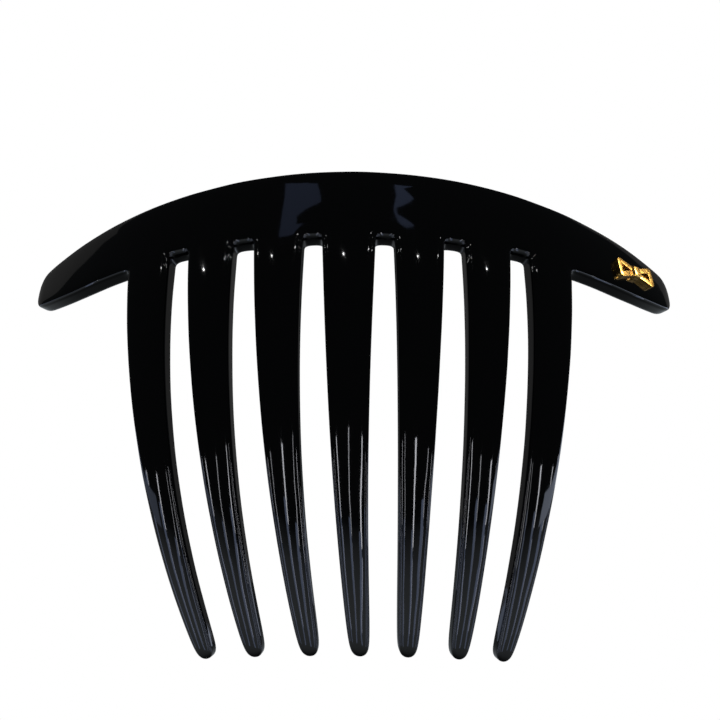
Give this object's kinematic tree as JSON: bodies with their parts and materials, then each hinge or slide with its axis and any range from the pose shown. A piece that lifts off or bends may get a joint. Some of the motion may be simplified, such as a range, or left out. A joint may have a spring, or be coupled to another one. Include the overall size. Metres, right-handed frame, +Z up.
{
  "type": "decorative side comb for hair",
  "caption": "Curved side comb for pinned-up hair: an arched glossy band with drooping wings, long tapered teeth and a small gilt bow emblem on one wing.",
  "frame": {"origin": "on the middle of the sheet, on the centre tooth's centre line, just below where the tooth leaves the band: the place that the hair roll is gripped", "axes": "+Z up from the tooth tips to the band, -Y out of the convex front, +X to the right of the front"},
  "size_m": [0.1112, 0.0418, 0.0788],
  "materials": {
    "comb_plastic": "polished black cellulose acetate",
    "gilt_metal": "polished gold plating over brass"
  },
  "bodies": {
    "root": {"band": "comb_plastic", "tooth_1": "comb_plastic", "tooth_2": "comb_plastic", "tooth_3": "comb_plastic", "tooth_4": "comb_plastic", "tooth_5": "comb_plastic", "tooth_6": "comb_plastic", "tooth_7": "comb_plastic", "emblem": "gilt_metal", "emblem_studs": "gilt_metal"}
  },
  "joints": []
}
